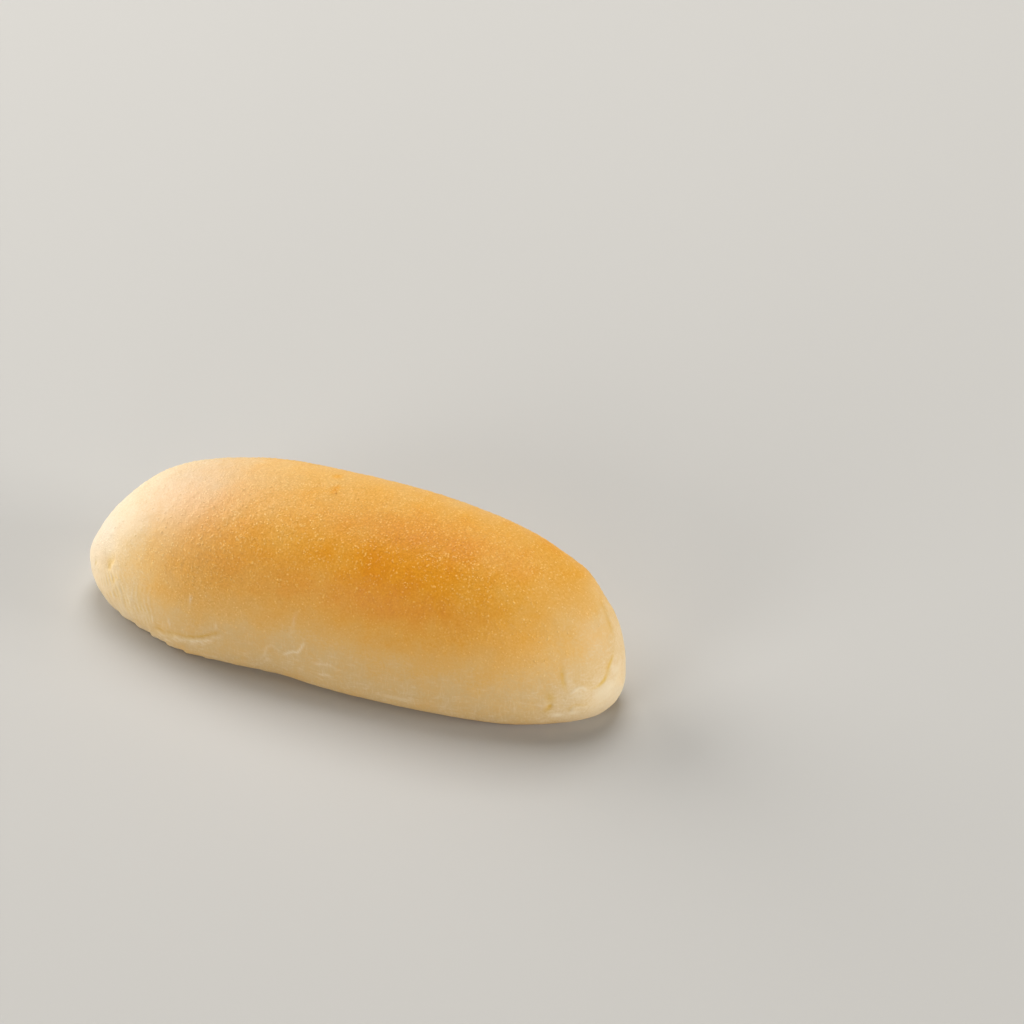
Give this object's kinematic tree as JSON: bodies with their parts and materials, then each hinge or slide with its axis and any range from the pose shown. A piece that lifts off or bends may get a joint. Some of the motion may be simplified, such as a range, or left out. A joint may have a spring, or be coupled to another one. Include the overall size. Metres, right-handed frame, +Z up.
{
  "type": "hot dog bun",
  "caption": "Long soft bread roll with a thin golden crust, domed top, pale lower sides and flat base, whole and uncut, with folds at its tucked tip.",
  "frame": {"origin": "middle of the flat base of the bun's bounding box, on the surface that it rests on", "axes": "+X along the bun to its tucked tip, +Y to its back, the side that the crown leans to, +Z up"},
  "size_m": [0.155, 0.0562, 0.0438],
  "materials": {
    "crust": "thin soft baked crust, golden brown on top and cream at the sides, satin"
  },
  "bodies": {
    "root": {"bun": "crust"}
  },
  "joints": []
}
